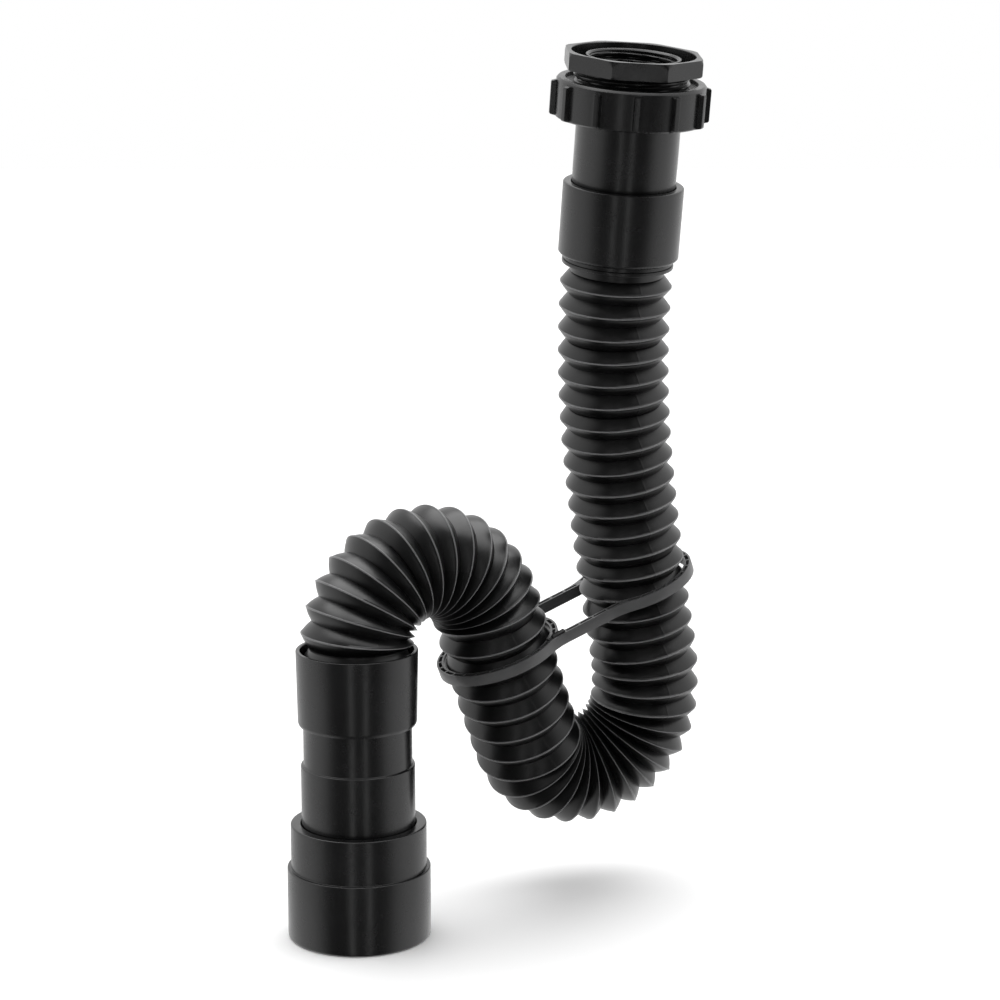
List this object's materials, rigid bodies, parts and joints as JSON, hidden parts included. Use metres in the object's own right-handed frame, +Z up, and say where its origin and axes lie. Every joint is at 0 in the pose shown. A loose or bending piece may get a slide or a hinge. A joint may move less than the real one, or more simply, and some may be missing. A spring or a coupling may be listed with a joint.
{
  "type": "p trap",
  "caption": "Flexible accordion P trap: ribbed slip nut with octagonal reducing bush, corrugated hose looped into an S with a leg clip, and a stepped drain spigot.",
  "frame": {"origin": "centre of the outlet adapter's bottom face", "axes": "+Z up along the outlet's axis, away from the drain; +X to the right and +Y away when the outlet is at the left and the inlet at the right, seen from the side the legs are offset towards"},
  "size_m": [0.1493, 0.1098, 0.3118],
  "materials": {
    "hose_plastic": "matte black polypropylene",
    "fitting_plastic": "satin black polypropylene",
    "seal_rubber": "matte black rubber"
  },
  "bodies": {
    "bush": {"reducing_bush": "fitting_plastic", "bush_gasket": "seal_rubber"},
    "nut_seat": {"slip_washer": "seal_rubber"},
    "nut": {"coupling_nut": "fitting_plastic"},
    "tail": {"tail_tube": "fitting_plastic", "upper_collar": "fitting_plastic", "upper_seal": "seal_rubber", "upper_retaining_ring": "fitting_plastic", "upper_hose_cuff": "hose_plastic"},
    "leg_top": {"hose_leg_side_bend": "hose_plastic"},
    "leg_middle": {"hose_leg_fore_bend": "hose_plastic"},
    "trap": {"hose_leg_stretch": "hose_plastic", "hose_middle_leg": "hose_plastic", "hose_bend_falling": "hose_plastic", "hose_bend_rising": "hose_plastic", "hose_leg_foot": "hose_plastic", "leg_clip": "fitting_plastic"},
    "crown_leg_side": {"hose_crown_leg_side": "hose_plastic"},
    "crown_top": {"hose_crown_top": "hose_plastic"},
    "crown_outlet_side": {"hose_crown_outlet_side": "hose_plastic", "lower_hose_cuff": "hose_plastic"},
    "outlet": {"outlet_spigot": "fitting_plastic", "lower_seal": "seal_rubber", "lower_retaining_ring": "fitting_plastic"},
    "adapter": {"outlet_adapter": "fitting_plastic", "adapter_seal": "seal_rubber"}
  },
  "joints": [
    {"name": "nut_advance", "type": "slide", "parent": "bush", "child": "nut_seat", "axis": [-0.0625, 0.134, -0.989], "range_m": [0, 0.00577]},
    {"name": "nut_turn", "type": "hinge", "parent": "nut_seat", "child": "nut", "pos_m": [0.0912, 0.03927, 0.23143], "axis": [-0.0625, 0.134, -0.989], "range_deg": [0, 900]},
    {"name": "tail_swivel", "type": "hinge", "parent": "nut_seat", "child": "tail", "pos_m": [0.0912, 0.03927, 0.23143], "axis": [0.0625, -0.134, 0.989], "continuous": true},
    {"name": "leg_side_bend", "type": "hinge", "parent": "tail", "child": "leg_top", "pos_m": [0.09062, 0.04096, 0.21934], "axis": [-0.4226, 0.9063, 0], "range_deg": [-30, 30], "deforming": ["hose_leg_side_bend"]},
    {"name": "leg_fore_bend", "type": "hinge", "parent": "leg_top", "child": "leg_middle", "pos_m": [0.09054, 0.04467, 0.19517], "axis": [0.9063, 0.4226, 0], "range_deg": [-30, 30], "deforming": ["hose_leg_fore_bend"]},
    {"name": "leg_stretch", "type": "slide", "parent": "leg_middle", "child": "trap", "axis": [0.1066, 0.1719, -0.9793], "range_m": [-0.022, 0.01], "deforming": ["hose_leg_stretch"]},
    {"name": "crown_open", "type": "hinge", "parent": "trap", "child": "crown_leg_side", "pos_m": [0.04208, 0.02776, 0.11873], "axis": [-0.5299, 0.848, 0], "range_deg": [0, 30], "deforming": ["hose_crown_leg_side"]},
    {"name": "crown_open_top", "type": "hinge", "parent": "crown_leg_side", "child": "crown_top", "pos_m": [0.02414, 0.0157, 0.13186], "axis": [-0.5299, 0.848, 0], "range_deg": [0, 30], "deforming": ["hose_crown_top"]},
    {"name": "crown_open_outlet", "type": "hinge", "parent": "crown_top", "child": "crown_outlet_side", "pos_m": [0.00338, 0.0021, 0.11894], "axis": [-0.5299, 0.848, 0], "range_deg": [0, 30], "deforming": ["hose_crown_outlet_side"]},
    {"name": "outlet_swivel", "type": "hinge", "parent": "crown_outlet_side", "child": "outlet", "pos_m": [0, 0, 0.09], "axis": [0, 0, 1], "continuous": true},
    {"name": "adapter_pull", "type": "slide", "parent": "outlet", "child": "adapter", "axis": [0, 0, -1], "range_m": [0, 0.03]}
  ],
  "couplings": [
    {"joint": "nut_turn", "follows": "nut_advance", "rad_per_m": 2721},
    {"joint": "crown_open_top", "follows": "crown_open", "ratio": 1},
    {"joint": "crown_open_outlet", "follows": "crown_open", "ratio": 1}
  ]
}
